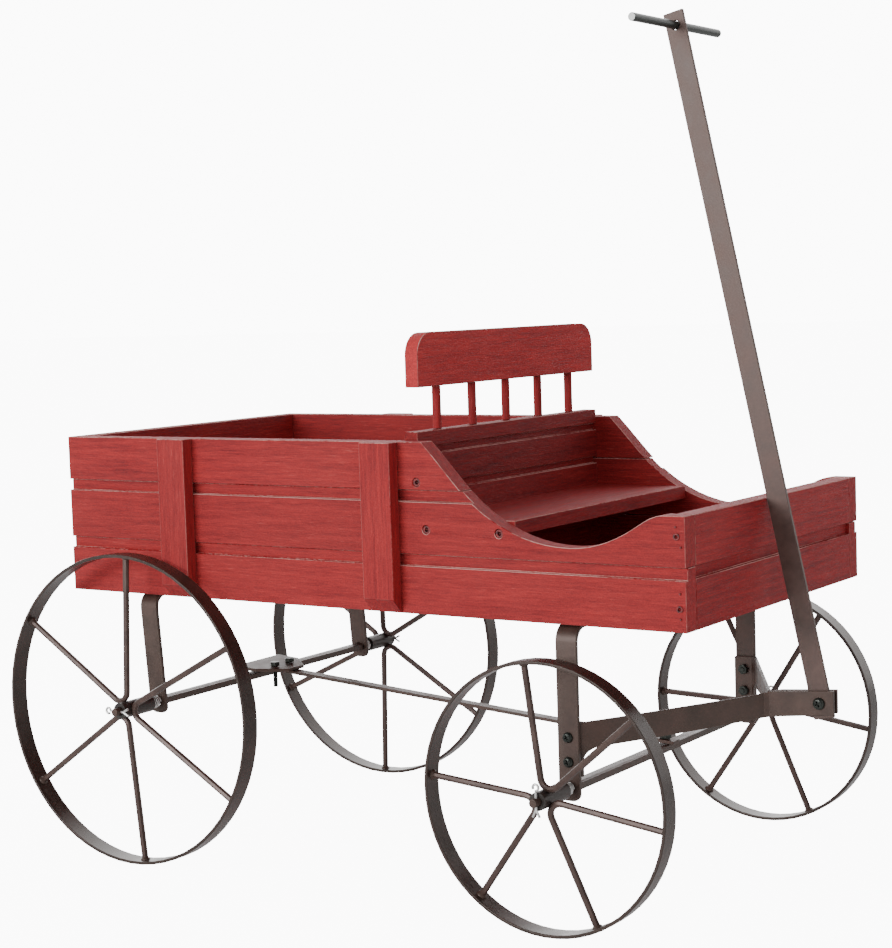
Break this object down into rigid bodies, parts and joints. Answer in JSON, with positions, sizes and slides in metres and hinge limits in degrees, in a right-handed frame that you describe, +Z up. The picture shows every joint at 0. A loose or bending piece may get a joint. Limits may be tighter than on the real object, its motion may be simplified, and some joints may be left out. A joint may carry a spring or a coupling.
{
  "type": "kids pull wagon",
  "caption": "Small buckboard-style pull wagon: a grooved wooden box with a seat and swooping sides on band-steel spoked wheels, with a hinged pull handle.",
  "frame": {"origin": "middle of the whole wagon's footprint, on the ground, with the handle leaning back in its parked position", "axes": "+X to the front, where the handle is; +Y to the wagon's left; +Z up"},
  "size_m": [0.6242, 0.3696, 0.6105],
  "materials": {
    "stained_wood": "worn red stain on brushed softwood",
    "painted_steel": "satin dark bronze-brown paint",
    "zinc_steel": "bright zinc plate"
  },
  "bodies": {
    "wagon": {"side_board_right_bottom": "stained_wood", "side_board_right_middle": "stained_wood", "side_board_right_top": "stained_wood", "side_board_left_bottom": "stained_wood", "side_board_left_middle": "stained_wood", "side_board_left_top": "stained_wood", "front_board_bottom": "stained_wood", "front_board_top": "stained_wood", "rear_board_bottom": "stained_wood", "rear_board_middle": "stained_wood", "rear_board_top": "stained_wood", "floor_board_rear": "stained_wood", "floor_board_front": "stained_wood", "cleat_right_rear": "stained_wood", "cleat_right_middle": "stained_wood", "cleat_left_rear": "stained_wood", "cleat_left_middle": "stained_wood", "partition_board_bottom": "stained_wood", "partition_board_middle": "stained_wood", "partition_board_top": "stained_wood", "seat_board": "stained_wood", "back_rail": "stained_wood", "spindle_1": "stained_wood", "spindle_2": "stained_wood", "spindle_3": "stained_wood", "spindle_4": "stained_wood", "spindle_5": "stained_wood", "front_strap": "painted_steel", "rear_strap": "painted_steel", "front_axle": "painted_steel", "rear_axle": "painted_steel", "reach_bar": "painted_steel", "reach_plate": "painted_steel", "left_tongue_arm": "painted_steel", "right_tongue_arm": "painted_steel", "right_lower_tongue_bolt": "painted_steel", "right_upper_tongue_bolt": "painted_steel", "left_lower_tongue_bolt": "painted_steel", "left_upper_tongue_bolt": "painted_steel", "handle_pivot_bolt": "painted_steel", "handle_pivot_nut": "painted_steel", "rear_right_spring": "zinc_steel", "rear_right_split_pin": "zinc_steel", "rear_left_spring": "zinc_steel", "rear_left_split_pin": "zinc_steel", "front_right_spring": "zinc_steel", "front_right_split_pin": "zinc_steel", "front_left_spring": "zinc_steel", "front_left_split_pin": "zinc_steel"},
    "rear_right_wheel": {"rear_right_rim": "painted_steel", "rear_right_hub": "painted_steel"},
    "rear_left_wheel": {"rear_left_rim": "painted_steel", "rear_left_hub": "painted_steel"},
    "front_right_wheel": {"front_right_rim": "painted_steel", "front_right_hub": "painted_steel"},
    "front_left_wheel": {"front_left_rim": "painted_steel", "front_left_hub": "painted_steel"},
    "handle": {"handle_bar": "painted_steel", "cross_grip": "painted_steel"}
  },
  "joints": [
    {"name": "rear_right_wheel_spin", "type": "hinge", "parent": "wagon", "child": "rear_right_wheel", "pos_m": [-0.19415, -0.1638, 0.1179], "axis": [0, 1, 0], "continuous": true},
    {"name": "rear_left_wheel_spin", "type": "hinge", "parent": "wagon", "child": "rear_left_wheel", "pos_m": [-0.19415, 0.1638, 0.1179], "axis": [0, 1, 0], "continuous": true},
    {"name": "front_right_wheel_spin", "type": "hinge", "parent": "wagon", "child": "front_right_wheel", "pos_m": [0.17325, -0.1677, 0.0916], "axis": [0, 1, 0], "continuous": true},
    {"name": "front_left_wheel_spin", "type": "hinge", "parent": "wagon", "child": "front_left_wheel", "pos_m": [0.17325, 0.1677, 0.0916], "axis": [0, 1, 0], "continuous": true},
    {"name": "handle_swing", "type": "hinge", "parent": "wagon", "child": "handle", "pos_m": [0.30175, -0.017, 0.1381], "axis": [0, 1, 0], "range_deg": [0, 115]}
  ]
}
